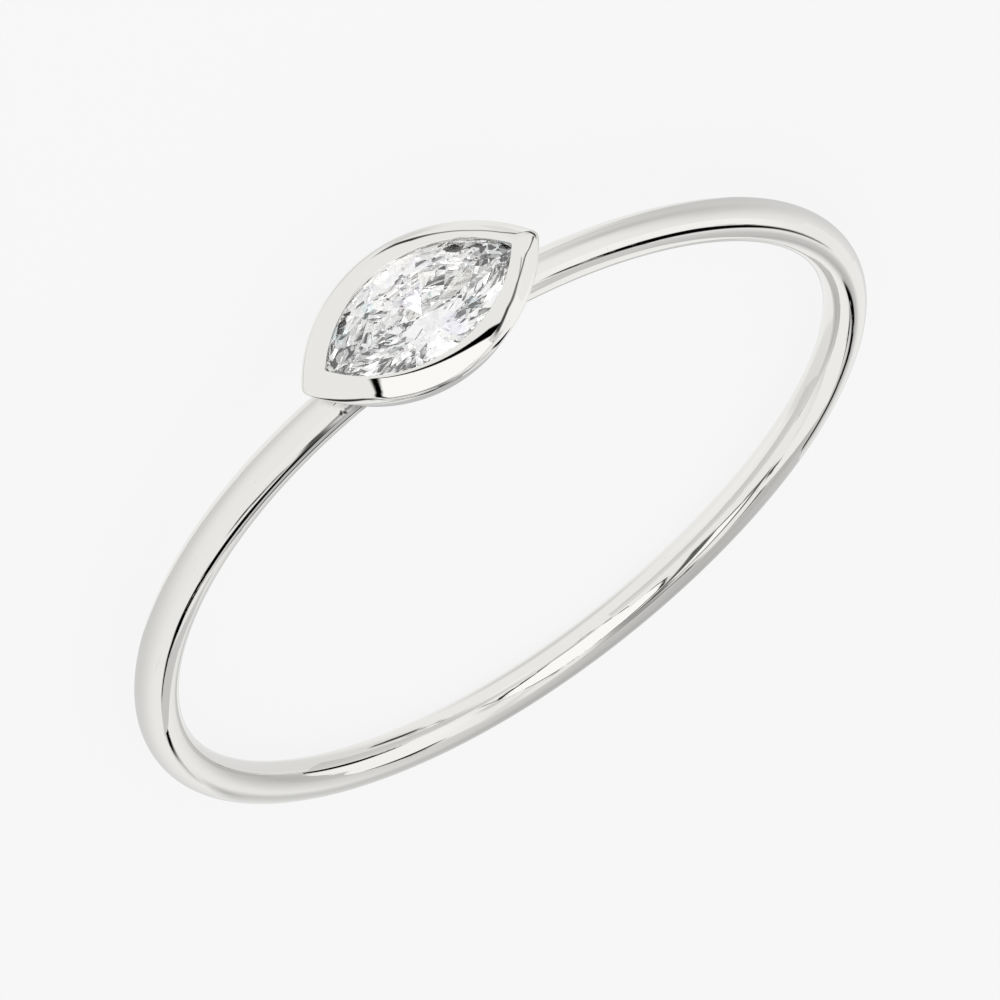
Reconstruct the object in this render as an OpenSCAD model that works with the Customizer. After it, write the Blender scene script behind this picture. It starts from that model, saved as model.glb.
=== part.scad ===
// Marquise bezel ring: a slim, softly rounded band, and a marquise-cut stone that lies
// along the band in a low bezel with a wide, smooth rim.
// Units are millimetres. The origin is the centre of the finger hole. +Y points to the
// stone, +X runs along the stone, and the ring lies on its side as it rests on a table.

/* [Band] */
// Inside diameter, US ring size 6
inner_diameter = 16.5; // [14:0.1:22]
// Radial thickness of the band
band_thickness = 0.93; // [0.8:0.01:1.6]
// Width of the band along the finger
band_width = 0.88; // [0.8:0.01:2.4]
// Edge radius towards the finger
inner_edge_radius = 0.28; // [0.1:0.01:0.38]
// Edge radius on the outside
outer_edge_radius = 0.38; // [0.1:0.01:0.39]

/* [Stone] */
// Length of the stone from tip to tip
stone_length = 4.9; // [4:0.1:6]
// Width of the stone across its belly
stone_width = 2.6; // [2.2:0.1:3]
// Height of the crown above the girdle
crown_height = 0.33; // [0.25:0.01:0.45]
// Thickness of the girdle
girdle_thickness = 0.05; // [0.03:0.01:0.1]
// Depth of the pavilion below the girdle
pavilion_depth = 1.08; // [0.9:0.01:1.12]
// Size of the table as a share of the stone
table_share = 0.58; // [0.5:0.01:0.65]
// Height of the star facets as a share of the crown
star_share = 0.5; // [0.4:0.05:0.6]
// Length of the lower girdle facets as a share of the pavilion
lower_share = 0.75; // [0.6:0.05:0.85]

/* [Bezel] */
// Height of the lip's edge above the outside of the band
lip_rise = 1.02; // [0.9:0.01:1.4]
// How far the lip reaches over the stone
lip_overlap = 0.1; // [0.06:0.01:0.15]
// Thickness of the lip at its edge
lip_thickness = 0.12; // [0.08:0.01:0.2]
// Width of the rim, from the lip's edge to the corner that the shoulder rounds off
rim_width = 0.65; // [0.55:0.01:0.8]
// Angle at which the rim falls outwards
rim_fall = 12; // [5:1:20]
// Radius of the rim's shoulder
shoulder_radius = 0.3; // [0.2:0.01:0.35]
// Lean of the side wall, inwards towards the band
wall_lean = 22; // [10:1:24]
// Depth of the bezel's flat underside below the outside of the band
base_depth = 0.43; // [0.4:0.01:0.5]
// Gap between the stone and its seat
seat_gap = 0.03; // [0.02:0.01:0.05]

/* [Hidden] */
$fn = 96;

hole_r = inner_diameter/2;
outer_r = hole_r + band_thickness;

// The stone's outline is two equal arcs that meet at its tips. Each arc's centre lies
// beyond the long axis, arc_shift from it, and every outline of the bezel keeps these
// two centres, so that its tips are mitred.
half_l = stone_length/2;
half_w = stone_width/2;
stone_r = (half_l*half_l + half_w*half_w)/stone_width;
arc_shift = stone_r - half_w;
tip_angle = asin(half_l/stone_r);
open_r = stone_r - lip_overlap;
seat_r = stone_r + seat_gap;

// Heights along +Y from the centre of the finger hole.
lip_y = outer_r + lip_rise;
lip_under_y = lip_y - lip_thickness;
crown_clear_angle = 40;
girdle_y = lip_under_y - seat_gap - lip_overlap*tan(crown_clear_angle);
culet_y = girdle_y - girdle_thickness - pavilion_depth;
base_y = outer_r - base_depth;

// The rim's shoulder: an arc that touches the rim's slope and the side wall. Points are
// [distance from the arc's axis, height].
rim_corner = [open_r + rim_width, lip_y - rim_width*tan(rim_fall)];
rim_way = [cos(rim_fall), -sin(rim_fall)];
rim_inward = [-sin(rim_fall), -cos(rim_fall)];
wall_inward = [-cos(wall_lean), sin(wall_lean)];
shoulder_back = shoulder_radius*(1 - rim_inward*wall_inward)/(rim_way*wall_inward);
shoulder_centre = rim_corner + shoulder_radius*rim_inward + shoulder_back*rim_way;
base_edge_r = rim_corner[0] - (rim_corner[1] - base_y)*tan(wall_lean);

// The lean of the whole ring at rest, about X: the bezel's shoulder and the far side of
// the band touch the table together.
rest_run = shoulder_centre[1] + outer_r - outer_edge_radius;
rest_drop = shoulder_centre[0] - arc_shift - band_width/2 + outer_edge_radius;
rest_lean = atan(rest_drop/rest_run)
          + asin((shoulder_radius - outer_edge_radius)/norm([rest_run, rest_drop]));

metal_colour = [0.86, 0.86, 0.85];
stone_colour = [0.93, 0.95, 0.98];

// Section of the band, with its radius along x and the finger's direction along y.
module band_section() {
    inner_x = hole_r + inner_edge_radius;
    outer_x = outer_r - outer_edge_radius;
    inner_half = band_width/2 - inner_edge_radius;
    outer_half = band_width/2 - outer_edge_radius;
    polygon([
        [hole_r, -inner_half], [inner_x, -band_width/2], [outer_x, -band_width/2],
        [outer_r, -outer_half], [outer_r, outer_half], [outer_x, band_width/2],
        [inner_x, band_width/2], [hole_r, inner_half]
    ]);
    for (side = [-1, 1]) {
        translate([inner_x, side*inner_half]) circle(inner_edge_radius);
        translate([outer_x, side*outer_half]) circle(outer_edge_radius);
    }
}

module band() {
    rotate_extrude() band_section();
}

// A marquise body: a profile turned about each arc's axis, cut at the long axis and
// mirrored. It stands with its length along x and its height along z.
module marquise_turned(height_limit) {
    for (side = [0, 1]) mirror([0, side, 0]) intersection() {
        translate([0, -arc_shift, 0]) rotate_extrude() children();
        translate([-half_l*2, 0, 0]) cube([half_l*4, stone_width*2, height_limit]);
    }
}

module bezel_profile() {
    polygon([
        [0, base_y], [base_edge_r, base_y],
        shoulder_centre - shoulder_radius*wall_inward,
        shoulder_centre - shoulder_radius*rim_inward,
        [open_r, lip_y], [0, lip_y]
    ]);
    translate(shoulder_centre) circle(shoulder_radius);
}

module seat_profile() {
    seat_floor = girdle_y - girdle_thickness - seat_gap;
    polygon([
        [0, culet_y - seat_gap], [arc_shift, culet_y - seat_gap],
        [seat_r, seat_floor], [seat_r, girdle_y + seat_gap],
        [open_r, lip_under_y], [open_r, lip_y + 1], [0, lip_y + 1]
    ]);
}

// Stands a piece that is modelled with its height along z on the band at +Y.
module on_band() {
    rotate([-90, 0, 0]) children();
}

module bezel() {
    on_band() marquise_turned(lip_y + 2) bezel_profile();
}

module stone_seat() {
    on_band() marquise_turned(lip_y + 2) seat_profile();
}

// Brilliant cut on the marquise outline. Girdle step u runs from 0 to 15: the tips are
// at 0 and 8 and the bellies at 4 and 12. Main facets stand at the even steps.
function arc_angle(u) = tip_angle*(1 - (u <= 8 ? u : 16 - u)/4);
function side_of(u) = u <= 8 ? 1 : -1;
function on_girdle(u, z) =
    [stone_r*sin(arc_angle(u)), side_of(u)*(stone_r*cos(arc_angle(u)) - arc_shift), z];
function along_girdle(u) =
    u % 8 == 0 ? [0, 1, 0] : [cos(arc_angle(u)), -side_of(u)*sin(arc_angle(u)), 0];

// A main facet's plane holds the girdle's direction at its foot and the point it rises
// to: the table's corner for the crown, the culet for the pavilion.
function facet_normal(u, foot_z, top) =
    cross(along_girdle(u), top - on_girdle(u, foot_z));

// The point at height z where two planes meet, each given by its normal and a point.
function planes_at(n1, p1, n2, p2, z) =
    let (a = n1*p1 - n1[2]*z, b = n2*p2 - n2[2]*z, d = n1[0]*n2[1] - n1[1]*n2[0])
    [(a*n2[1] - b*n1[1])/d, (n1[0]*b - n2[0]*a)/d, z];

function table_corner(u) =
    let (g = on_girdle(u, 0)) [table_share*g[0], table_share*g[1], crown_height];

function between_mains(u, foot_z, top1, top2, z) =
    let (v = (u + 2) % 16)
    planes_at(facet_normal(u, foot_z, top1), on_girdle(u, foot_z),
              facet_normal(v, foot_z, top2), on_girdle(v, foot_z), z);

module marquise_brilliant() {
    culet = [0, 0, -girdle_thickness - pavilion_depth];
    star_z = crown_height*(1 - star_share);
    lower_z = -girdle_thickness - pavilion_depth*lower_share;
    mains = [0:2:14];
    table = [for (u = mains) table_corner(u)];
    stars = [for (u = mains)
        between_mains(u, 0, table_corner(u), table_corner((u + 2) % 16), star_z)];
    rim_top = [for (u = [0:15]) on_girdle(u, 0)];
    rim_low = [for (u = [0:15]) on_girdle(u, -girdle_thickness)];
    lowers = [for (u = mains) between_mains(u, -girdle_thickness, culet, culet, lower_z)];
    // Where each list of points starts in the whole list.
    star_0 = 8;
    top_0 = 16;
    low_0 = 32;
    lower_0 = 48;
    culet_0 = 56;
    faces = [
        [for (i = [0:7]) i],
        for (i = [0:7]) let (j = (i + 1) % 8, h = (i + 7) % 8, g = 2*i, m = g + 1, n = (g + 2) % 16)
            each [
                [j, i, star_0 + i],
                [i, star_0 + h, top_0 + g, star_0 + i],
                [star_0 + i, top_0 + g, top_0 + m],
                [star_0 + i, top_0 + m, top_0 + n],
                [top_0 + g, low_0 + g, low_0 + m, top_0 + m],
                [top_0 + m, low_0 + m, low_0 + n, top_0 + n],
                [low_0 + g, lower_0 + i, low_0 + m],
                [low_0 + m, lower_0 + i, low_0 + n],
                [low_0 + g, lower_0 + h, culet_0, lower_0 + i]
            ]
    ];
    polyhedron(
        points = concat(table, stars, rim_top, rim_low, lowers, [culet]),
        faces = faces
    );
}

// The metal is soldered up and polished as one: band and bezel, with the seat cut last.
module band_and_bezel() {
    color(metal_colour) rotate([rest_lean, 0, 0]) difference() {
        union() {
            band();
            bezel();
        }
        stone_seat();
    }
}

module marquise_stone() {
    color(stone_colour) rotate([rest_lean, 0, 0])
        on_band() translate([0, 0, girdle_y]) marquise_brilliant();
}

band_and_bezel();
marquise_stone();
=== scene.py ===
"""Marquise bezel ring, dressed round its CAD frame: polished white metal and a clear stone.

The ring is worked out in its own frame, in millimetres, with the finger hole's axis along
z, the stone at +y and the stone's length along x. lay_down() then leans it as it rests on
the table and turns it into metres.
"""
import math

import bpy
import numpy as np
from mathutils import Matrix, Vector


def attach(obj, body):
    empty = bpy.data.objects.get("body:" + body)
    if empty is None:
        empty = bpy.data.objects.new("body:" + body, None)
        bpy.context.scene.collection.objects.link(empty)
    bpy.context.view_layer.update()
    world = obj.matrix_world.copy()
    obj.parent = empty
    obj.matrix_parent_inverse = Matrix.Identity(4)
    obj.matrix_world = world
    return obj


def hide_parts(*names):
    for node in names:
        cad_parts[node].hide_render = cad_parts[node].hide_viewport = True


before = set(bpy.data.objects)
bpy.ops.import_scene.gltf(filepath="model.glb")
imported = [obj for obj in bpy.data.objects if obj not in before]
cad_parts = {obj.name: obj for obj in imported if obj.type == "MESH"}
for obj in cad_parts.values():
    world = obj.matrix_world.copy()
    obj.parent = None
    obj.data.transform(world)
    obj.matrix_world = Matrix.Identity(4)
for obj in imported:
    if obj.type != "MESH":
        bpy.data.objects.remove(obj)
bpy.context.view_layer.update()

# Sizes of the CAD source, in millimetres.
HOLE_R = 8.25
BAND_THICKNESS = 0.93
BAND_WIDTH = 0.88
OUTER_R = HOLE_R + BAND_THICKNESS
STONE_LENGTH = 4.9
STONE_WIDTH = 2.6
LIP_OVERLAP = 0.1
LIP_RISE = 1.02
LIP_THICKNESS = 0.12
RIM_WIDTH = 0.65
RIM_FALL = math.radians(12)
SHOULDER_R = 0.3
WALL_LEAN = math.radians(22)
BASE_DEPTH = 0.43
SEAT_GAP = 0.03
CROWN_CLEAR = math.radians(40)
GIRDLE_THICKNESS = 0.05
PAVILION_DEPTH = 1.08
REST_LEAN = math.radians(3.98193)
TABLE_Z = -0.00105094

# The stone's outline: two arcs, whose centres lie ARC_SHIFT beyond the long axis.
HALF_LENGTH = STONE_LENGTH / 2
HALF_WIDTH = STONE_WIDTH / 2
STONE_R = (HALF_LENGTH**2 + HALF_WIDTH**2) / STONE_WIDTH
ARC_SHIFT = STONE_R - HALF_WIDTH
OPEN_R = STONE_R - LIP_OVERLAP
SEAT_R = STONE_R + SEAT_GAP
LIP_Y = OUTER_R + LIP_RISE
GIRDLE_Y = LIP_Y - LIP_THICKNESS - SEAT_GAP - LIP_OVERLAP * math.tan(CROWN_CLEAR)
CULET_Y = GIRDLE_Y - GIRDLE_THICKNESS - PAVILION_DEPTH
BASE_Y = OUTER_R - BASE_DEPTH

# Finish of the band and bezel, in millimetres where they are lengths.
BAND_POWER = 2.15
BEND_DEPTH = 0.12
BEND_LOBES = 3
BEND_TURN = math.radians(-12)
BAND_DRIFT = (-0.033, 0.05)
SINK_DEPTH = 0.42
SINK_HALF_LENGTH = 1.9
HAND_RIM_FALL = math.radians(15)
RIM_DOME = 0.0118
SHOULDER_EDGE_R = 0.15
CREST_R = 0.06
BEVEL_WIDTH = 0.27
BEVEL_FALL = math.radians(40)
SLIGHT_BEVEL_WIDTH = 0.22
SLIGHT_BEVEL_FALL = math.radians(19)
LIP_EDGE_R = 0.025
BASE_EDGE_R = 0.06
SEAT_EDGE_R = 0.015
TIP_BLEND = 0.12
LIP_TIP_BLEND = 0.03
TIP_CROWDING = 0.35
LONGEST_STEP = 0.045
STREAK_ACROSS = 1.0
STREAK_ALONG = 0.7
FILED_POWER = 1.5
LEAST_BLEND = 0.01
FARTHEST_R = 6.0
HALVINGS = 48
SEAM_REACH = 0.14
SEAM_LOWEST_Y = 8.2
SEAM_FARTHEST_X = 3.4
PIT_SPOT = (-2.42, 0.37)
PIT_REACH = (0.3, 0.1)
PIT_FULLNESS = 1.3
# Painted reflections on the bezel: fine dark lines drawn into the metal's colour, where dark
# things round it would show in the polish. Each is drawn through points: angle round the bezel
# in degrees, distance out from the lip's edge and height, both in millimetres, then half its
# width in millimetres, and how dark it is.
PAINTED_REFLECTION_LINES = {
    "upper_rim": [
        (3, 0.489, 9.973, 0.012, 0.4), (1, 0.46, 9.998, 0.028, 1.0),
        (-0.4, 0.425, 10.024, 0.034, 1.0), (-1.4, 0.41, 10.042, 0.034, 1.0),
        (-2.1, 0.378, 10.068, 0.028, 0.95), (-2.6, 0.309, 10.119, 0.022, 0.9),
        (-3.2, 0.245, 10.143, 0.02, 0.85), (-9, 0.194, 10.159, 0.017, 0.7),
        (-23, 0.181, 10.163, 0.015, 0.65), (-41, 0.214, 10.154, 0.018, 0.75),
        (-52, 0.243, 10.145, 0.026, 0.9), (-62, 0.269, 10.137, 0.036, 1.0),
        (-75, 0.331, 10.116, 0.032, 1.0), (-86, 0.353, 10.108, 0.022, 0.85),
        (-98, 0.365, 10.1, 0.01, 0.0)],
    "shoulder": [
        (146, 0.46, 10.062, 0.008, 0.0), (150, 0.47, 10.06, 0.014, 0.8),
        (155, 0.479, 10.056, 0.024, 1.0), (160, 0.503, 10.037, 0.032, 1.0),
        (164, 0.519, 10.016, 0.034, 1.0), (169, 0.533, 9.989, 0.028, 1.0),
        (175, 0.543, 9.937, 0.016, 0.9), (179, 0.54, 9.9, 0.01, 0.2)],
    "lower_ridge": [
        (1.5, 0.435, 10.022, 0.03, 0.9), (3, 0.415, 10.039, 0.02, 0.9),
        (4, 0.397, 10.054, 0.018, 0.85), (6, 0.364, 10.082, 0.018, 0.8),
        (8, 0.316, 10.117, 0.02, 0.8), (10, 0.291, 10.127, 0.018, 0.8),
        (14, 0.28, 10.131, 0.016, 0.75), (23, 0.264, 10.137, 0.016, 0.75),
        (33, 0.297, 10.125, 0.02, 0.85), (38, 0.302, 10.124, 0.026, 0.95),
        (54, 0.38, 10.088, 0.034, 0.95), (60, 0.41, 10.07, 0.02, 0.0)],
    "underline": [
        (64, 0.46, 10.052, 0.01, 0.0), (83, 0.527, 9.999, 0.012, 0.5),
        (101, 0.542, 9.925, 0.014, 0.6), (117, 0.541, 9.945, 0.014, 0.55),
        (135, 0.536, 9.975, 0.012, 0.5), (150, 0.538, 9.965, 0.012, 0.5),
        (165, 0.541, 9.92, 0.012, 0.5), (176, 0.54, 9.88, 0.012, 0.0)],
}


def lay_down(points):
    """Leans points by REST_LEAN about x, as the ring rests, and gives metres."""
    c, s = math.cos(REST_LEAN), math.sin(REST_LEAN)
    turn = np.array([[1, 0, 0], [0, c, -s], [0, s, c]])
    return (np.asarray(points, float) @ turn.T) / 1000


def mesh_piece(name, points, faces, material):
    """A smooth-shaded object at the origin from points in metres and quads or triangles."""
    mesh = bpy.data.meshes.new(name)
    mesh.from_pydata(points.reshape(-1, 3).tolist(), [], faces)
    mesh.polygons.foreach_set("use_smooth", np.ones(len(mesh.polygons), bool))
    mesh.materials.append(material)
    mesh.update()
    piece = bpy.data.objects.new(name, mesh)
    bpy.context.collection.objects.link(piece)
    return piece


def paint(piece, name, values):
    """Stores one number or one vector a vertex as the mesh's own attribute."""
    values = np.asarray(values, np.float32)
    kind, field = ("FLOAT", "value") if values.ndim == 1 else ("FLOAT_VECTOR", "vector")
    attribute = piece.data.attributes.new(name, kind, "POINT")
    attribute.data.foreach_set(field, values.ravel())


def grid_quads(rows, columns, close_rows):
    """Quads of a grid that closes along its columns, and along its rows if asked."""
    last = rows if close_rows else rows - 1
    i, j = np.meshgrid(np.arange(last), np.arange(columns), indexing="ij")
    down, right = (i + 1) % rows, (j + 1) % columns
    quads = np.stack([i * columns + j, i * columns + right,
                      down * columns + right, down * columns + j], -1)
    return quads.reshape(-1, 4).tolist()


def rounded(corners, radii, steps):
    """An open polyline with its corners rounded: each inner corner is swapped for an arc of
    its radius that touches both of its sides. The ends stay where they are."""
    corners = np.asarray(corners, float)
    out = [corners[:1]]
    for k in range(1, len(corners) - 1):
        p, r = corners[k], radii[k]
        a = (corners[k - 1] - p) / np.linalg.norm(corners[k - 1] - p)
        b = (corners[k + 1] - p) / np.linalg.norm(corners[k + 1] - p)
        half = math.acos(np.clip(a @ b, -1, 1)) / 2
        centre = p + (a + b) / np.linalg.norm(a + b) * r / math.sin(half)
        start, end = p + a * r / math.tan(half), p + b * r / math.tan(half)
        t = np.linspace(0, 1, steps[k])[:, None]
        turn = math.pi - 2 * half
        out.append((np.sin((1 - t) * turn) * (start - centre)
                    + np.sin(t * turn) * (end - centre)) / math.sin(turn) + centre)
    out.append(corners[-1:])
    return np.concatenate(out)


def refined(path, counts):
    """The polyline with counts[k] even steps in place of its step k."""
    out = [path[:1]]
    for a, b, n in zip(path[:-1], path[1:], counts):
        out.append(a + (b - a) * np.linspace(1 / n, 1, n)[:, None])
    return np.concatenate(out)


def bend(a):
    """How far a hand-bent band stands out from a true circle at angle a: a slow wave of
    BEND_LOBES lobes, and a drift of the whole circle."""
    return (BEND_DEPTH * np.cos(BEND_LOBES * (a - BEND_TURN))
            + BAND_DRIFT[0] * np.cos(a) + BAND_DRIFT[1] * np.sin(a))


def band_surface(around=720, across=96):
    """Points of the band: its section carried round the finger hole. At angle a and section
    angle s, the section is a superellipse of power BAND_POWER, whose corners are rounder
    than a box's and whose faces are slightly domed. Under the stone's seat the outer half
    sinks into the bezel, by a smooth bump, so that it stays clear of the stone."""
    a = np.linspace(0, 2 * np.pi, around, endpoint=False)[:, None]
    s = np.linspace(0, 2 * np.pi, across, endpoint=False)[None, :]
    c, w = np.cos(s), np.sin(s)
    power = 2 / BAND_POWER
    depth = np.sign(c) * np.abs(c) ** power
    width = np.sign(w) * np.abs(w) ** power
    r = HOLE_R + BAND_THICKNESS / 2 * (1 + depth) + bend(a)
    z = BAND_WIDTH / 2 * width
    off_top = np.abs((a - np.pi / 2) * OUTER_R) / SINK_HALF_LENGTH
    sink = np.where(off_top < 1, (1 - np.clip(off_top, 0, 1) ** 2) ** 2, 0)
    r = r - (SINK_DEPTH + bend(np.pi / 2)) * sink * (1 + depth) / 2
    # Streaks run along the band: the place on the section, stretched, and slow turns of a.
    streaks = np.stack([STREAK_ACROSS * np.cos(s) + 0 * a, STREAK_ACROSS * np.sin(s) + 0 * a,
                        STREAK_ALONG * np.sin(a) + 0 * s], -1)
    streaks[..., 0] += STREAK_ALONG * np.cos(a)
    return np.stack([r * np.cos(a), r * np.sin(a), z + 0 * a], -1), streaks.reshape(-1, 3)


def marquise_radius(angles, reach, blend):
    """Distance from the centre to the marquise outline at each angle. The outline is where
    the larger of the distances to the two arc centres equals reach. Near the tips the two
    are blended, so that the tip is rounded. Solved by halving the range up to FARTHEST_R."""
    x, z = np.cos(angles), np.sin(angles)
    low, high = np.zeros_like(x * reach), np.full_like(x * reach, FARTHEST_R)
    for _ in range(HALVINGS):
        mid = (low + high) / 2
        d1 = np.hypot(mid * x, mid * z + ARC_SHIFT)
        d2 = np.hypot(mid * x, mid * z - ARC_SHIFT)
        h = np.maximum(blend - np.abs(d1 - d2), 0)
        value = np.maximum(d1, d2) + h**2 / (4 * blend)
        low, high = np.where(value < reach, mid, low), np.where(value < reach, high, mid)
    return (low + high) / 2


def shoulder_reach(fall, radius):
    """How the shoulder's arc lies against its corner: the offset from the corner, where the
    rim's slope meets the side wall, to the centre of the arc that touches both."""
    rim_way = np.array([math.cos(fall), -math.sin(fall)])
    rim_in = np.array([-math.sin(fall), -math.cos(fall)])
    wall_in = np.array([-math.cos(WALL_LEAN), math.sin(WALL_LEAN)])
    back = (1 - rim_in @ wall_in) / (rim_way @ wall_in)
    return radius * (rim_in + back * rim_way)


def shoulder_corner():
    """The corner that the bezel's shoulder rounds off, on the hand-finished rim's slope. It
    lies where the finer arc reaches as far down, as the ring lies, as the CAD's arc does."""
    down = np.array([math.cos(REST_LEAN), -math.sin(REST_LEAN)])
    lip = np.array([OPEN_R, LIP_Y])
    cad = lip + RIM_WIDTH * np.array([1, -math.tan(RIM_FALL)])
    lowest = (cad + shoulder_reach(RIM_FALL, SHOULDER_R)) @ down + SHOULDER_R
    fine = lip + shoulder_reach(HAND_RIM_FALL, SHOULDER_EDGE_R)
    slope = np.array([1, -math.tan(HAND_RIM_FALL)])
    return lip + slope * (lowest - SHOULDER_EDGE_R - fine @ down) / (slope @ down)


def bezel_profile(bevel_width, bevel_fall):
    """The bezel's section as (distance from the arc's axis, height), from the middle of its
    underside, out and up the side wall, over the shoulder, a bevel, its crest and the domed
    rim, down past the lip and along the seat to the culet's hole. Sharp corners are rounded
    by a fine radius. The dome is a parabola over the rim's straight slope."""
    edge = shoulder_corner()
    wall_way = np.array([math.sin(WALL_LEAN), math.cos(WALL_LEAN)])
    crest = edge - bevel_width * np.array([1, -math.tan(HAND_RIM_FALL)])
    bevel_way = np.array([math.cos(bevel_fall), -math.sin(bevel_fall)])
    # The bevel meets the side wall lower down: crest + u*bevel_way = edge - v*wall_way.
    u, v = np.linalg.solve(np.stack([bevel_way, wall_way], 1), edge - crest)
    corner = crest + u * bevel_way
    base_edge = np.array([edge[0] - (edge[1] - BASE_Y) * math.tan(WALL_LEAN), BASE_Y])
    seat_top = GIRDLE_Y + SEAT_GAP
    seat_low = GIRDLE_Y - GIRDLE_THICKNESS - SEAT_GAP
    corners = [
        (ARC_SHIFT, BASE_Y), base_edge, corner, crest, (OPEN_R, LIP_Y),
        (OPEN_R, LIP_Y - LIP_THICKNESS), (SEAT_R, seat_top), (SEAT_R, seat_low),
        (ARC_SHIFT, CULET_Y - SEAT_GAP),
    ]
    radii = [0, BASE_EDGE_R, SHOULDER_EDGE_R, CREST_R, LIP_EDGE_R, SEAT_EDGE_R, SEAT_EDGE_R,
             SEAT_EDGE_R, 0]
    steps = [0, 8, 24, 14, 10, 4, 4, 4, 0]
    return rounded(corners, radii, steps), crest[0] - OPEN_R


def domed(profile, width):
    """The profile with its rim raised by a parabola of height RIM_DOME over width."""
    across = np.clip((profile[:, 0] - OPEN_R) / width, 0, 1)
    rim = profile[:, 1] > LIP_Y - RIM_WIDTH * math.tan(BEVEL_FALL)
    lift = np.where(rim, 4 * RIM_DOME * across * (1 - across), 0)
    return np.stack([profile[:, 0], profile[:, 1] + lift], -1)


def bezel_reflection_line(points, reach, y, angles):
    """One painted reflection line for the shader, a vertex: how many half widths the surface is
    past its line, counted along the bezel's section, so that the line itself is at 0; then how
    dark it is there. The line's values run straight between its points round the bezel."""
    around = np.degrees(np.arctan2(np.sin(angles), np.cos(angles)))
    at = np.array(sorted(points)).T
    out, height, half = (np.interp(around, at[0], at[k]) for k in (1, 2, 3))
    depth = np.interp(around, at[0], at[4], left=0, right=0)
    across, up = reach - OPEN_R - out, y - height
    away = np.hypot(across, up)
    nearest = away.argmin(axis=0)
    rows, columns = np.arange(len(y))[:, None], np.arange(y.shape[1])
    # Rows past the nearest one count up. The nearest is past the line if the way to it and
    # the way on to the next row point the same way.
    onwards = np.clip(nearest + 1, 0, len(y) - 1)
    on = ((reach[onwards, columns] - reach[nearest, columns]) * across[nearest, columns]
          + (y[onwards, columns] - y[nearest, columns]) * up[nearest, columns]) > 0
    past = np.where(rows == nearest, on, rows > nearest)
    return np.stack([np.where(past, away, -away) / half, depth + 0 * away], -1)


def bezel_reflection_lines(reach, y, angles):
    """The painted reflection lines, a vertex, as two vectors: the upper rim's with the shoulder's,
    and the lower ridge's with the line under it, since the angles of each two don't overlap."""
    marks = [bezel_reflection_line(points, reach, y, angles) for points in PAINTED_REFLECTION_LINES.values()]
    marks = [mark * (mark[..., 1:] > 0) for mark in marks]
    flat = np.zeros(reach.shape + (1,))
    return tuple(np.concatenate([sum(pair), flat], -1) for pair in (marks[:2], marks[2:]))


def seat_rows(y):
    """The rows of the bezel's section that form the stone's seat, well under the lip."""
    after_lip = np.arange(len(y))[:, None] > y.argmax(axis=0)[None, :]
    return (after_lip & (y < GIRDLE_Y - GIRDLE_THICKNESS)).astype(float)


def band_seam(points):
    """How near the band's surface is to the bezel's side wall, 1 at the soldered joint and 0
    at SEAM_REACH, where the wall is a cone about each arc's axis. Then how near it is to the
    pitted spot in the solder, from 1 at PIT_SPOT to 0 at the edge of an oval of PIT_REACH."""
    edge = shoulder_corner()
    reach = np.hypot(points[:, 0], np.abs(points[:, 2]) + ARC_SHIFT)
    wall = edge[0] - (edge[1] - points[:, 1]) * math.tan(WALL_LEAN)
    gap = np.abs(reach - wall) * math.cos(WALL_LEAN)
    at_top = points[:, 1] > SEAM_LOWEST_Y
    near = at_top & (np.abs(points[:, 0]) < SEAM_FARTHEST_X)
    spot = np.hypot((points[:, 0] - PIT_SPOT[0]) / PIT_REACH[0],
                    (points[:, 2] - PIT_SPOT[1]) / PIT_REACH[1])
    return (np.where(near, np.clip(1 - gap / SEAM_REACH, 0, 1), 0),
            np.where(at_top, np.clip(PIT_FULLNESS * (1 - spot), 0, 1), 0))


def bezel_surface(around=560):
    """Points of the bezel: its profile carried round the marquise outline, which grows from
    the centre point as the profile's distance grows, so that the two ends are poles. From
    the middle of the stone towards its +x tip a hand-filed bevel grows round the rim, as a
    blend of two profiles, by the direction's cosine to FILED_POWER."""
    plain, plain_rim = bezel_profile(SLIGHT_BEVEL_WIDTH, SLIGHT_BEVEL_FALL)
    bevelled, bevelled_rim = bezel_profile(BEVEL_WIDTH, BEVEL_FALL)
    step = np.maximum(np.linalg.norm(np.diff(plain, axis=0), axis=1),
                      np.linalg.norm(np.diff(bevelled, axis=0), axis=1))
    counts = np.maximum(1, np.ceil(step / LONGEST_STEP)).astype(int)
    plain = domed(refined(plain, counts), plain_rim)[1:-1]
    bevelled = domed(refined(bevelled, counts), bevelled_rim)[1:-1]
    t = np.linspace(0, 2 * np.pi, around, endpoint=False)
    angles = (t - TIP_CROWDING * np.sin(2 * t))[None, :]
    filed = np.clip(np.cos(angles), 0, 1) ** FILED_POWER
    reach = plain[:, :1] + (bevelled[:, :1] - plain[:, :1]) * filed
    y = plain[:, 1:] + (bevelled[:, 1:] - plain[:, 1:]) * filed
    outwards = np.clip((reach - OPEN_R) / RIM_WIDTH, 0, 1)
    blend = np.clip(reach - ARC_SHIFT, LEAST_BLEND, 1) * (
        LIP_TIP_BLEND + (TIP_BLEND - LIP_TIP_BLEND) * outwards)
    r = marquise_radius(angles, reach, blend)
    points = np.stack([r * np.cos(angles), y, r * np.sin(angles)], -1)
    return points, bezel_reflection_lines(reach, y, angles), seat_rows(y)


def closed_cup(name, rows, first_pole, last_pole, material):
    """A grid of rings closed by a fan of triangles at each end."""
    n_rows, n = rows.shape[:2]
    j = np.arange(n)
    right = (j + 1) % n
    first, last = n_rows * n, n_rows * n + 1
    start = (n_rows - 1) * n
    faces = grid_quads(n_rows, n, False)
    faces += np.stack([np.full(n, first), right, j], -1).tolist()
    faces += np.stack([np.full(n, last), start + j, start + right], -1).tolist()
    points = np.concatenate([rows.reshape(-1, 3), [first_pole, last_pole]])
    return mesh_piece(name, lay_down(points), faces, material)


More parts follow.
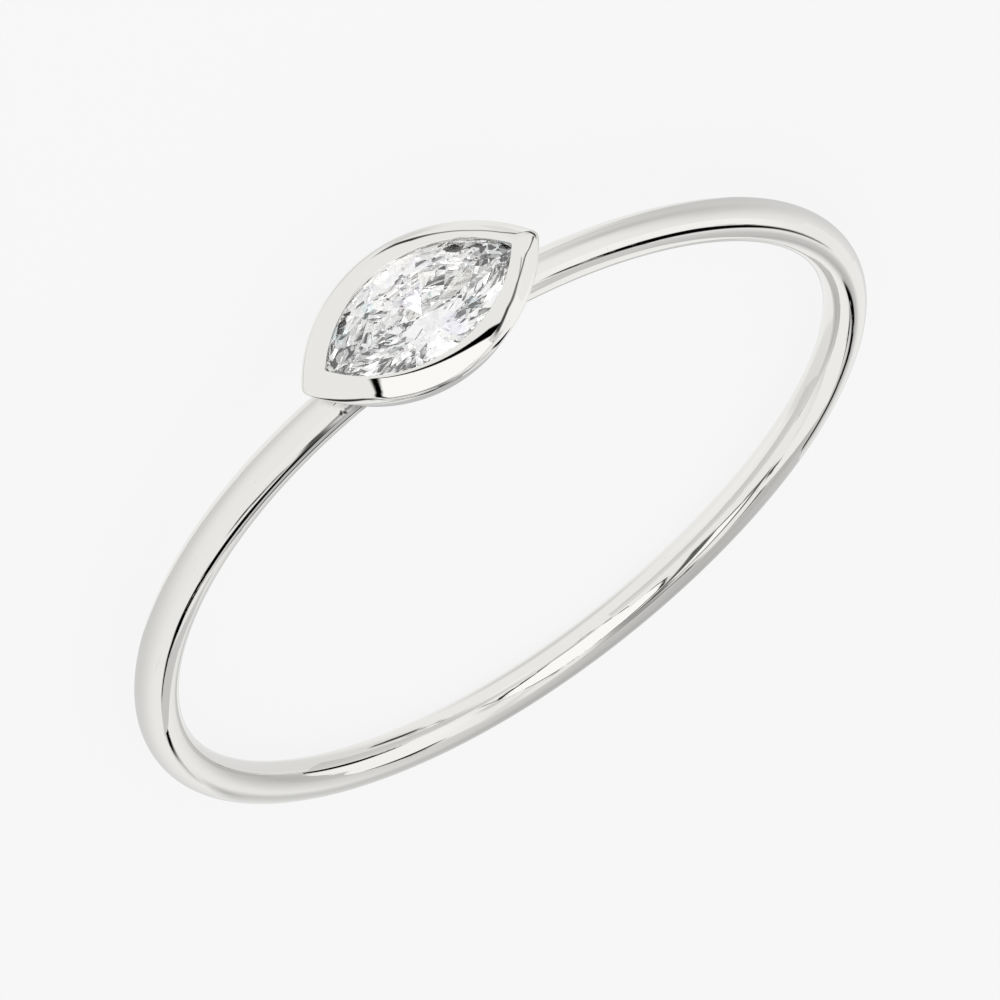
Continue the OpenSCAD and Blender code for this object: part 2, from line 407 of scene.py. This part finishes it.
def node(tree, kind, inputs=(), **settings):
    """A node with its settings and inputs. An input is a value or another node's socket."""
    made = tree.nodes.new(kind)
    for key, value in settings.items():
        setattr(made, key, value)
    for socket, value in dict(inputs).items():
        if isinstance(value, bpy.types.NodeSocket):
            tree.links.new(value, made.inputs[socket])
        else:
            made.inputs[socket].default_value = value
    return made


def maths(tree, operation, *inputs):
    """The result of a Math node on numbers and sockets."""
    return node(tree, "ShaderNodeMath", enumerate(inputs), operation=operation).outputs[0]


def ramped(tree, value, start, end, low=0, high=1, **settings):
    """The result of a Map Range node: low where the value is start, and high where it is
    end."""
    inputs = {"Value": value, "From Min": start, "From Max": end, "To Min": low,
              "To Max": high}
    return node(tree, "ShaderNodeMapRange", inputs, **settings).outputs[0]


def node_group(name, given, put):
    """A new shader node group, from its inputs' names and kinds and its outputs' names. With
    it, the sockets that its own nodes read and those that they feed."""
    tree = bpy.data.node_groups.new(name, "ShaderNodeTree")
    for socket, kind in given.items():
        tree.interface.new_socket(socket, in_out="INPUT", socket_type=kind)
    for socket in put:
        tree.interface.new_socket(socket, in_out="OUTPUT", socket_type="NodeSocketFloat")
    return tree, tree.nodes.new("NodeGroupInput").outputs, tree.nodes.new("NodeGroupOutput").inputs


def bare_material(name):
    """A new material without its usual shader, and its node tree."""
    material = bpy.data.materials.new(name)
    material.use_nodes = True
    tree = material.node_tree
    tree.nodes.remove(tree.nodes["Principled BSDF"])
    return material, tree


def hand_polish():
    """Node group for polished metal, from a direction-stretched place: faint long hairlines,
    slow hollows left by the polishing wheel, and a few fine specks. Puts out the height for
    a bump, the roughness, and a mask of the specks."""
    tree, given, put = node_group(
        "hand_polish", {"Place": "NodeSocketVector", "Streaks": "NodeSocketVector",
                        "Hairlines": "NodeSocketFloat", "Hollows": "NodeSocketFloat"},
        ("Height", "Roughness", "Specks"))
    hair = node(tree, "ShaderNodeTexNoise", {"Vector": given["Streaks"],
                                             "Scale": HAIRLINE_SCALE, "Detail": 3.0,
                                             "Roughness": 0.6})
    line = ramped(tree, hair.outputs["Fac"], *HAIRLINE_EDGE)
    slow = node(tree, "ShaderNodeTexNoise", {"Vector": given["Place"], "Scale": HOLLOW_SCALE,
                                             "Detail": 1.0})
    dots = node(tree, "ShaderNodeTexVoronoi", {"Vector": given["Place"],
                                               "Scale": SPECK_SCALE})
    lines = maths(tree, "MULTIPLY", line, given["Hairlines"])
    hollows = maths(tree, "MULTIPLY", slow.outputs["Fac"], given["Hollows"])
    height = maths(tree, "SUBTRACT", hollows, lines)
    rough = maths(tree, "MULTIPLY_ADD", line, HAIRLINE_ROUGHNESS, POLISH_ROUGHNESS)
    rare = maths(tree, "LESS_THAN", dots.outputs["Distance"], SPECK_SIZE)
    for result, socket in ((height, "Height"), (rough, "Roughness"), (rare, "Specks")):
        tree.links.new(result, put[socket])
    return tree


def painted_reflection_line():
    """Node group for a painted reflection line: from a vector of how many half widths the surface
    is past its line and how dark it is, its darkness, solid near the line and soft-edged."""
    tree, given, put = node_group("painted_reflection_line", {"Reflection_Line": "NodeSocketVector"}, ("Dark",))
    parts = node(tree, "ShaderNodeSeparateXYZ", {0: given["Reflection_Line"]})
    away = maths(tree, "ABSOLUTE", parts.outputs["X"])
    core = ramped(tree, away, *REFLECTION_LINE_EDGE)
    tree.links.new(maths(tree, "MULTIPLY", core, parts.outputs["Y"]), put["Dark"])
    return tree


def random_cells(tree, place, scale):
    """A random number from 0 to 1 for each small cell of space."""
    cells = node(tree, "ShaderNodeTexVoronoi", {"Vector": place, "Scale": scale})
    return node(tree, "ShaderNodeSeparateColor", {"Color": cells.outputs["Color"]}).outputs[0]


def white_gold(name, hairlines, hollows):
    """Polished white gold. The mesh's own attributes: "streaks" runs along the polishing,
    "crest_reflection_line" and "under_reflection_line" are painted reflections, dark lines drawn
    into the colour, "seam_shade" is painted shade that darkens the joint, "solder" is where small
    pits lie in it, and "seat" glows in uneven cells, painted light that stands in for what a real,
    open-backed seat lets in behind the stone."""
    material = bpy.data.materials.new(name)
    material.use_nodes = True
    tree = material.node_tree
    shader = tree.nodes["Principled BSDF"]
    shader.inputs["Metallic"].default_value = 1
    shader.inputs["Emission Strength"].default_value = 1
    place = node(tree, "ShaderNodeTexCoord").outputs["Object"]
    streaks, seam_shade, solder, seat = (
        node(tree, "ShaderNodeAttribute", attribute_name=own)
        for own in ("streaks", "seam_shade", "solder", "seat"))
    polish = node(tree, "ShaderNodeGroup", {"Place": place, "Streaks": streaks.outputs["Vector"],
                                            "Hairlines": hairlines, "Hollows": hollows},
                  node_tree=POLISH)
    bump = node(tree, "ShaderNodeBump", {"Strength": 1.0, "Distance": POLISH_DEPTH,
                                         "Height": polish.outputs["Height"]})
    tone = node(tree, "ShaderNodeMix", {0: polish.outputs["Specks"], 6: METAL_COLOUR,
                                        7: SPECK_COLOUR}, data_type="RGBA")
    grains = node(tree, "ShaderNodeTexNoise", {"Vector": place, "Scale": GRAIN_SCALE,
                                               "Detail": 4.0})
    pits = maths(tree, "MULTIPLY", grains.outputs["Fac"], solder.outputs["Fac"])
    pit = ramped(tree, pits, *PIT_EDGE, high=PIT_DARKNESS)
    # Painted shade along the band's joint with the bezel, and the solder's pits.
    marks = maths(tree, "MAXIMUM", pit, seam_shade.outputs["Fac"])
    # Painted reflection lines: dark lines drawn into the metal's colour.
    for own in ("crest_reflection_line", "under_reflection_line"):
        drawn = node(tree, "ShaderNodeAttribute", attribute_name=own)
        line = node(tree, "ShaderNodeGroup", {"Reflection_Line": drawn.outputs["Vector"]},
                    node_tree=PAINTED_REFLECTION_GROUP)
        marks = maths(tree, "MAXIMUM", marks, line.outputs["Dark"])
    dark = node(tree, "ShaderNodeMix", {0: marks, 6: tone.outputs[2], 7: REFLECTION_LINE_COLOUR},
                data_type="RGBA")
    # Painted glow: the seat's metal emits light in uneven cells, lighting the stone from behind.
    seat_painted_glow = ramped(tree, random_cells(tree, place, SEAT_CELLS), 0, 1, *SEAT_GLOW)
    tree.links.new(dark.outputs[2], shader.inputs["Base Color"])
    tree.links.new(polish.outputs["Roughness"], shader.inputs["Roughness"])
    tree.links.new(bump.outputs["Normal"], shader.inputs["Normal"])
    tree.links.new(maths(tree, "MULTIPLY", seat_painted_glow, seat.outputs["Fac"]),
                   shader.inputs["Emission Color"])
    return material


def clear_stone():
    """Clear diamond: glass of its own index, with a faint painted fire: small cells of colour that
    stand in for the colours the stone splits light into. Of the cells, each colour of FIRE has
    those whose number is past its own."""
    material = bpy.data.materials.new("diamond")
    material.use_nodes = True
    tree = material.node_tree
    shader = tree.nodes["Principled BSDF"]
    shader.inputs["Transmission Weight"].default_value = 1
    shader.inputs["Roughness"].default_value = 0
    shader.inputs["IOR"].default_value = DIAMOND_IOR
    place = node(tree, "ShaderNodeTexCoord").outputs["Object"]
    fire = node(tree, "ShaderNodeValToRGB", {"Fac": random_cells(tree, place, FIRE_CELLS)})
    ramp = fire.color_ramp
    ramp.interpolation = "CONSTANT"
    ready = len(ramp.elements)
    for k, (start, colour) in enumerate(FIRE):
        stop = ramp.elements[k] if k < ready else ramp.elements.new(start)
        stop.position, stop.color = start, colour
    tree.links.new(fire.outputs["Color"], shader.inputs["Base Color"])
    return material


# Polished white gold. Scales count a noise's cells to the metre, or to the unit of the
# streaks, and edges are where a noise starts to show and where it is full.
METAL_COLOUR = (0.88, 0.872, 0.848, 1)
SPECK_COLOUR = (0.62, 0.62, 0.61, 1)
# Colour of the painted reflection lines.
REFLECTION_LINE_COLOUR = (0.03, 0.03, 0.03, 1)
HAIRLINE_SCALE = 9.0
HAIRLINE_EDGE = (0.60, 0.78)
HAIRLINE_ROUGHNESS = 0.05
POLISH_ROUGHNESS = 0.02
POLISH_DEPTH = 0.000003
HOLLOW_SCALE = 500.0
SPECK_SCALE = 2600.0
SPECK_SIZE = 0.03
REFLECTION_LINE_EDGE = (1.3, 0.6)
GRAIN_SCALE = 12000.0
PIT_EDGE = (0.42, 0.52)
PIT_DARKNESS = 0.9
# How dark the painted shade along the band's joint is.
SEAM_SHADE_DARKNESS = 0.4
BEZEL_STREAKS = 0.6
# The seat's painted glow: its cells, and the range of its strength.
SEAT_CELLS = 1700.0
SEAT_GLOW = (0.05, 0.46)
# Clear diamond, and its painted fire: each colour with the cell number, from 0 to 1, that it
# starts at.
DIAMOND_IOR = 2.417
FIRE_CELLS = 2300.0
FIRE = [
    (0.0, (0.78, 0.94, 1.0, 1)),
    (0.02, (1, 1, 1, 1)),
    (0.94, (0.88, 0.86, 1.0, 1)),
    (0.98, (1.0, 0.94, 0.96, 1)),
]
POLISH = hand_polish()
PAINTED_REFLECTION_GROUP = painted_reflection_line()

band_points, band_streaks = band_surface()
band = mesh_piece("band", lay_down(band_points), grid_quads(*band_points.shape[:2], True),
                  white_gold("band_metal", hairlines=0.3, hollows=0.9))
paint(band, "streaks", band_streaks)
# Painted shade along the band's joint with the bezel, and where the solder's pits lie.
seam_shade, pits = band_seam(band_points.reshape(-1, 3))
paint(band, "seam_shade", SEAM_SHADE_DARKNESS * seam_shade)
paint(band, "solder", pits)
bezel_rows, reflection_line_marks, seat_marks = bezel_surface()
bezel = closed_cup("bezel", bezel_rows, (0, BASE_Y, 0), (0, CULET_Y - SEAT_GAP, 0),
                   white_gold("bezel_metal", hairlines=0.06, hollows=0.6))
# The bezel's two poles come last, and carry no streaks or painted reflection lines.
poles = np.zeros((2, 3))
paint(bezel, "streaks", BEZEL_STREAKS * np.concatenate([bezel_rows.reshape(-1, 3), poles]))
# Painted reflection lines on the bezel, as two attributes.
for name, marks in zip(("crest_reflection_line", "under_reflection_line"), reflection_line_marks):
    paint(bezel, name, np.concatenate([marks.reshape(-1, 3), poles]))
# Where the seat's painted glow shows.
paint(bezel, "seat", np.concatenate([seat_marks.ravel(), [0, 1]]))
for piece in (band, bezel):
    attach(piece, "root")
    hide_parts("band_and_bezel")
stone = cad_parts["marquise_stone"]
stone.data.materials.clear()
stone.data.materials.append(clear_stone())

# Camera, in the row frame: it stands on the stone's side, above the table, and is rolled.
VIEW_AZIMUTH = math.radians(-173.835)
VIEW_ELEVATION = math.radians(28.541)
VIEW_ROLL = math.radians(142.657)
VIEW_DISTANCE = 0.305
VIEW_LENS = 517.36
VIEW_SLIDE = (0.0000055, 0.000028)


def place_camera():
    """A long lens that looks at the finger hole's centre. VIEW_ROLL turns its picture, and
    VIEW_SLIDE moves the ring's centre right and down in it."""
    data = bpy.data.cameras.new("camera")
    data.lens = VIEW_LENS
    data.clip_start, data.clip_end = 0.01, 10
    camera = bpy.data.objects.new("camera", data)
    bpy.context.collection.objects.link(camera)
    azimuth, elevation = VIEW_AZIMUTH, VIEW_ELEVATION
    back = Vector((math.sin(azimuth) * math.cos(elevation),
                   -math.cos(azimuth) * math.cos(elevation), math.sin(elevation)))
    level_right = Vector((0, 0, 1)).cross(back).normalized()
    level_up = back.cross(level_right)
    right = level_right * math.cos(VIEW_ROLL) + level_up * math.sin(VIEW_ROLL)
    up = back.cross(right)
    place = Matrix((right, up, back)).transposed().to_4x4()
    place.translation = back * VIEW_DISTANCE - right * VIEW_SLIDE[0] + up * VIEW_SLIDE[1]
    camera.matrix_world = place
    bpy.context.scene.camera = camera


place_camera()

# Light and floor, with lengths in metres. Places are a compass direction and an elevation in
# degrees: 0 is +Y, the stone's side, and 90 is +X.
PLAIN_LIGHT = 0.9
FILL_LIGHT = 0.91
FLOOR_COLOUR = 0.10
FLOOR_GLOW = 0.838
FLOOR_HALF_WIDTH = 0.6
KEY_WATTS = 0.012
KEY_SIZE = 0.05
KEY_PLACE = (-10, 26)
KEY_DISTANCE = 0.12


def direction(compass, elevation):
    """Unit vector at a compass angle from +Y towards +X and an elevation, in degrees."""
    a, e = math.radians(compass), math.radians(elevation)
    return Vector((math.sin(a) * math.cos(e), math.cos(a) * math.cos(e), math.sin(e)))


def beyond_pane(tree, sky, corners):
    """How far the direction is outside a flat pane, from its corners' (compass, elevation):
    the largest of its distances past the planes through the eye and each edge."""
    place = [direction(*corner) for corner in corners]
    middle = sum(place, Vector())
    beyond = None
    for a, b in zip(place, place[1:] + place[:1]):
        outwards = a.cross(b).normalized()
        if outwards.dot(middle) > 0:
            outwards = -outwards
        past = node(tree, "ShaderNodeVectorMath", {0: sky, 1: outwards},
                    operation="DOT_PRODUCT").outputs["Value"]
        beyond = past if beyond is None else maths(tree, "MAXIMUM", past, beyond)
    return beyond


def beyond_strip(tree, sky, points):
    """How far the direction is outside a curved strip, from its (compass, elevation, half
    width) along its middle. Between two points it is a tapered capsule: the direction's
    distance from the nearest place on the line between them, less the half width there."""
    place = [direction(compass, elevation) for compass, elevation, _ in points]
    wide = [2 * math.sin(math.radians(half) / 2) for _, _, half in points]
    nearest = None
    for a, b, half_a, half_b in zip(place[:-1], place[1:], wide[:-1], wide[1:]):
        way = b - a
        from_a = node(tree, "ShaderNodeVectorMath", {0: sky, 1: a}, operation="SUBTRACT")
        along = node(tree, "ShaderNodeVectorMath",
                     {0: from_a.outputs[0], 1: way / way.length_squared},
                     operation="DOT_PRODUCT")
        share = node(tree, "ShaderNodeClamp", {"Value": along.outputs["Value"]})
        line = node(tree, "ShaderNodeMix", {0: share.outputs[0], 4: a, 5: b},
                    data_type="VECTOR")
        foot = node(tree, "ShaderNodeVectorMath", {0: line.outputs[1]}, operation="NORMALIZE")
        gap = node(tree, "ShaderNodeVectorMath", {0: sky, 1: foot.outputs[0]},
                   operation="DISTANCE")
        half = ramped(tree, share.outputs[0], 0, 1, half_a, half_b)
        beyond = maths(tree, "SUBTRACT", gap.outputs["Value"], half)
        nearest = beyond if nearest is None else maths(tree, "MINIMUM", beyond, nearest)
    return nearest


def studio_world():
    """Soft pale surroundings, with the studio's cards laid over one another in order: pale
    cloths and softboxes, and the dark gaps between them."""
    world = bpy.data.worlds.new("studio")
    world.use_nodes = True
    tree = world.node_tree
    sky = node(tree, "ShaderNodeTexCoord").outputs["Generated"]
    light = FILL_LIGHT
    for points, soft, brightness in CARDS:
        shape = beyond_strip if len(points[0]) == 3 else beyond_pane
        mask = ramped(tree, shape(tree, sky, points), soft / 2, -soft / 2,
                      interpolation_type="SMOOTHSTEP")
        light = ramped(tree, mask, 0, 1, light, brightness)
    plain = tree.nodes["Background"]
    plain.inputs["Color"].default_value = (PLAIN_LIGHT,) * 3 + (1,)
    cards = node(tree, "ShaderNodeBackground", {"Color": light})
    # Soft light is plain; the cards show in the metal and in the stone.
    path = node(tree, "ShaderNodeLightPath")
    shown = maths(tree, "MAXIMUM", path.outputs["Is Glossy Ray"],
                  path.outputs["Is Transmission Ray"])
    mix = node(tree, "ShaderNodeMixShader", {0: shown, 1: plain.outputs[0],
                                             2: cards.outputs[0]})
    tree.links.new(mix.outputs[0], tree.nodes["World Output"].inputs["Surface"])
    bpy.context.scene.world = world


# Each card is its outline, its softness and its brightness. An outline with half widths is a
# curved strip, and one without is a flat pane. Later cards lie over earlier ones.
CARDS = [
    # Pale cloths: right wall, greyer table on the right, and the table below.
    ([(60, 24, 22), (95, 40, 26), (130, 45, 18)], 0.35, 1.0),
    ([(85, -28, 22), (135, -25, 24)], 0.3, 0.78),
    ([(-60, -40, 16), (-100, -48, 10)], 0.3, 0.95),
    ([(-118, -25, 20), (-118, 5, 22), (-116, 25, 17)], 0.14, 0.80),
    ([(20, -80, 14), (60, -84, 14)], 0.25, 0.72),
    # Grey ceiling: overhead, down the back to the table's far edge, and an arc on the right.
    ([(-30, 70, 2), (-60, 82, 5), (-140, 78, 6), (170, 72, 6)], 0.16, 0.36),
    ([(125, 66, 4), (142, 57, 5), (156, 48, 6), (165, 38, 7), (172, 26, 6)], 0.14, 0.64),
    ([(176, 60, 6), (178, 42, 6), (178, 26, 6), (176, 8, 4), (175, -28, 6)], 0.22, 0.50),
    ([(20, 62, 1.5), (60, 73, 2.5), (110, 75, 2.5), (150, 66, 3)], 0.08, 0.78),
    # Dark edges of the ceiling: left side and back, then right side.
    ([(-152, 62, 2), (-140, 62, 3.5), (-124, 56, 3.5), (-107, 51, 3), (-92, 45, 2)], 0.05, 0.08),
    ([(-120, 74, 0.8), (-152, 70, 2), (-166, 62, 2.5), (-170, 54, 3)], 0.05, 0.1),
    ([(-170, 53, 5), (-165, 47, 8.5), (-163, 42, 7), (-165, 36, 4.4), (-169, 29, 1.8),
      (-173, 25, 0.8)], 0.05, 0.0),
    ([(-177, 22.5, 2.4), (178, 25, 3.2), (177, 27.5, 2.6)], 0.03, 0.0),
    ([(98, 63, 1.8), (110, 60, 3.2), (122, 54, 5), (133, 47, 6.2), (145, 37, 4.4),
      (153, 29, 2), (160, 23, 0.8)], 0.06, 0.0),
    # Gap above the table on the right, and the fine edge that leads down to a dark clip.
    ([(40, 1, 0.6), (52, 5, 2), (63, 7.5, 3.6), (77, 7.5, 4.8), (92, 4.5, 4.4), (105, 0.5, 3.2),
      (115, -2, 2.4), (128, -4, 1.4), (140, -3, 0.7)], 0.05, 0.0),
    ([(22, 38, 1.0), (26, 23, 1.0), (29, 12, 0.9), (32, 1, 0.7), (36, -10, 0.7),
      (45, -23, 0.9), (56, -29, 1.6)], 0.03, 0.35),
    ([(58, -31, 4.2), (69, -34, 4.2)], 0.08, 0.05),
    # Grey stand beside the softbox.
    ([(30.5, 29, 3.2), (31, 41, 3.2)], 0.08, 0.7),
    # Left window with its dark bars.
    ([(-88, 38), (-44, 30), (-44, 78), (-80, 76)], 0.05, 0.12),
    ([(-79, 43), (-57, 38.5), (-56, 71), (-74, 68)], 0.05, 1.08),
    # Main softbox: its dark frame, then its pale cloth.
    ([(-33.8, 38, 1.6), (-30, 32.8, 1.5), (-18.5, 17, 1.5), (-5.8, -2.6, 1.5), (5, 7.8, 3.6),
      (13, 14.5, 4.6), (20.5, 21, 4.2), (26.5, 31, 0.2), (25, 45, 0.2), (13, 72, 2.2),
      (-20, 72, 2.4), (-38, 58, 2), (-33.8, 38, 1.6)], 0.015, 0.0),
    ([(-5.8, -2.6), (5, 7.8), (20.5, 21), (26.5, 31), (25, 45), (13, 72), (-20, 72),
      (-38, 58), (-33.8, 38), (-30, 32.8)], 0.015, 1.08),
]

# Pale screens near the ring, which show in the metal alone and only from their front: the
# side from which their corners, in millimetres, run anticlockwise. Then their brightness.
SCREENS = [
    # Stands inside the ring, so that the inside of the band on the right mirrors it.
    ("inner_screen", [(7.3, -7, 1.8), (1.2, -7, 1.8), (1.2, -7, 14), (7.3, -7, 14)], 0.94),
    # Stands on the left, so that the band there mirrors one dark line, with grey beyond it.
    ("left_screen", [(-5.6, -5, 2.9), (-9.6, -5, 2.9), (-9.6, -5, 6), (-5.6, -5, 6)], 0.62),
    # Hangs over the band beside the bezel's -x tip.
    ("band_screen", [(-2.5, 8.9, 3.4), (-4.5, 7.8, 3.4), (-9.5, 8.2, 3.4), (-10, 13, 3.4),
                     (-5.2, 14.6, 3.4)], 0.93),
]
# Low pale walls stand round the ring, beside its band: each one's radius and its heights in
# millimetres, and at each angle round the ring, in degrees, its brightness at those heights.
WALL_PANELS = 64
LOW_WALLS = [
    ("lower_right_wall", 11.0, (-7, -2, -0.9, -0.2, 0.1), [
        (-40, (0.60, 0.66, 0.70, 0.76, 0.79)), (-12, (0.62, 0.68, 0.72, 0.77, 0.79))]),
    ("right_wall", 11.0, (-7, -2, -0.9, -0.2, 0.4, 0.8), [
        (-12, (0.62, 0.68, 0.72, 0.77, 0.82, 0.85)), (8, (0.62, 0.68, 0.72, 0.77, 0.82, 0.85))]),
    ("far_right_wall", 11.0, (-7, -4, -2.8, -2, -0.9, -0.2, 0.4, 0.8, 1.3, 2.0), [
        (8, (0.62, 0.64, 0.66, 0.68, 0.72, 0.77, 0.82, 0.85, 0.87, 0.90)),
        (35, (0.64, 0.64, 0.64, 0.66, 0.60, 0.66, 0.76, 0.82, 0.87, 0.90)),
        (50, (0.90, 0.84, 0.64, 0.70, 0.58, 0.78, 0.87, 0.90, 0.91, 0.91)),
        (57, (0.96, 0.94, 0.66, 0.76, 0.60, 0.88, 0.92, 0.92, 0.92, 0.92)),
        (76, (0.96, 0.94, 0.80, 0.80, 0.86, 0.91, 0.92, 0.92, 0.92, 0.92))]),
    ("left_wall", 11.0, (-7, -2, -0.9, -0.3, 0.4, 1.1, 2.0), [
        (108, (0.66, 0.76, 0.87, 0.90, 0.91, 0.91, 0.91)),
        (135, (0.66, 0.72, 0.82, 0.88, 0.90, 0.91, 0.91)),
        (155, (0.66, 0.70, 0.76, 0.80, 0.84, 0.88, 0.90)),
        (180, (0.66, 0.68, 0.71, 0.74, 0.80, 0.86, 0.90)),
        (235, (0.66, 0.68, 0.71, 0.76, 0.82, 0.88, 0.91))]),
    ("upper_left_wall", 11.0, (2.0, 9.0), [(115, (0.91, 0.91)), (173, (0.91, 0.91))]),
    ("near_wall", 9.9, (0.2, 1.0, 1.35, 1.7, 2.1, 2.6, 4.5, 10.0), [
        (210, (0.86, 0.84, 0.84, 0.84, 0.88, 0.91, 0.91, 0.91)),
        (215, (0.84, 0.62, 0.50, 0.64, 0.86, 0.91, 0.91, 0.91)),
        (220, (0.84, 0.68, 0.62, 0.74, 0.88, 0.91, 0.91, 0.91)),
        (235, (0.76, 0.62, 0.68, 0.78, 0.86, 0.86, 0.86, 0.88)),
        (262, (0.62, 0.50, 0.52, 0.56, 0.62, 0.62, 0.68, 0.80)),
        (290, (0.60, 0.48, 0.50, 0.52, 0.54, 0.52, 0.52, 0.60)),
        (312, (0.66, 0.60, 0.62, 0.60, 0.58, 0.54, 0.52, 0.60))]),
]


def mirrored_card(name, points, faces, brightness, one_sided):
    """A glowing card that shows in the metal alone: it hides nothing and lights nothing. Its
    brightness is stored a vertex. A one-sided card is clear from its back."""
    material, tree = bare_material(name)
    level = node(tree, "ShaderNodeAttribute", attribute_name="brightness")
    glow = node(tree, "ShaderNodeEmission", {"Strength": level.outputs["Fac"]})
    face = node(tree, "ShaderNodeNewGeometry")
    back = maths(tree, "MULTIPLY", face.outputs["Backfacing"], float(one_sided))
    clear = node(tree, "ShaderNodeBsdfTransparent")
    mix = node(tree, "ShaderNodeMixShader", {0: back, 1: glow.outputs[0],
                                             2: clear.outputs[0]})
    tree.links.new(mix.outputs[0], tree.nodes["Material Output"].inputs["Surface"])
    material.cycles.emission_sampling = "NONE"
    card = mesh_piece(name, points, faces, material)
    paint(card, "brightness", np.broadcast_to(brightness, len(card.data.vertices)))
    card.visible_camera = card.visible_diffuse = card.visible_shadow = False
    card.visible_transmission = card.visible_volume_scatter = False


def near_cards():
    """The screens and the low walls. A wall is a strip of a cylinder of WALL_PANELS flat
    panels, whose brightness runs straight between the angles and heights it is given at."""
    for name, corners, brightness in SCREENS:
        mirrored_card(name, np.array(corners) / 1000, [tuple(range(len(corners)))],
                      brightness, True)
    for name, radius, heights, columns in LOW_WALLS:
        ends = np.radians([angle for angle, _ in columns])
        a = np.linspace(ends[0], ends[-1], WALL_PANELS + 1)
        brightness = np.array([np.interp(a, ends, level)
                               for level in zip(*(levels for _, levels in columns))])
        z = np.array(heights, float)[:, None] + 0 * a
        points = np.stack([radius * np.cos(a) + 0 * z, radius * np.sin(a) + 0 * z, z], -1)
        i, j = np.meshgrid(np.arange(len(heights) - 1), np.arange(WALL_PANELS), indexing="ij")
        low = (i * len(a) + j).ravel()
        high = low + len(a)
        quads = np.stack([low, low + 1, high + 1, high], -1).tolist()
        mirrored_card(name, lay_down(points), quads, brightness.ravel(), False)


def lay_floor():
    """A wide plain floor at the height on which the ring rests. Seen straight on it glows
    like a light table. The metal and the stone mirror the cards in its place."""
    mesh = bpy.data.meshes.new("floor")
    s = FLOOR_HALF_WIDTH
    mesh.from_pydata([(-s, -s, TABLE_Z), (s, -s, TABLE_Z), (s, s, TABLE_Z), (-s, s, TABLE_Z)],
                     [], [(0, 1, 2, 3)])
    material, tree = bare_material("floor")
    weak = node(tree, "ShaderNodeBsdfDiffuse", {"Color": (FLOOR_COLOUR,) * 3 + (1,)})
    glow = node(tree, "ShaderNodeEmission", {"Strength": FLOOR_GLOW})
    table = node(tree, "ShaderNodeAddShader", {0: weak.outputs[0], 1: glow.outputs[0]})
    tree.links.new(table.outputs[0], tree.nodes["Material Output"].inputs["Surface"])
    mesh.materials.append(material)
    floor = bpy.data.objects.new("floor", mesh)
    floor.visible_glossy = floor.visible_transmission = False
    bpy.context.collection.objects.link(floor)


def key_light():
    """A large soft lamp, low on the stone's side, whose shadow falls behind the ring."""
    data = bpy.data.lights.new("key", "AREA")
    data.shape = "DISK"
    data.size = KEY_SIZE
    data.energy = KEY_WATTS
    lamp = bpy.data.objects.new("key", data)
    way = direction(*KEY_PLACE)
    lamp.location = way * KEY_DISTANCE
    lamp.rotation_mode = "QUATERNION"
    lamp.rotation_quaternion = way.to_track_quat("Z", "Y")
    lamp.visible_glossy = False
    bpy.context.collection.objects.link(lamp)


studio_world()
near_cards()
lay_floor()
key_light()
bpy.context.scene.view_settings.view_transform = "Standard"
# The stone's facets hand a ray on many times.
light_paths = bpy.context.scene.cycles
light_paths.max_bounces = 32
light_paths.transmission_bounces = 28
light_paths.glossy_bounces = 12
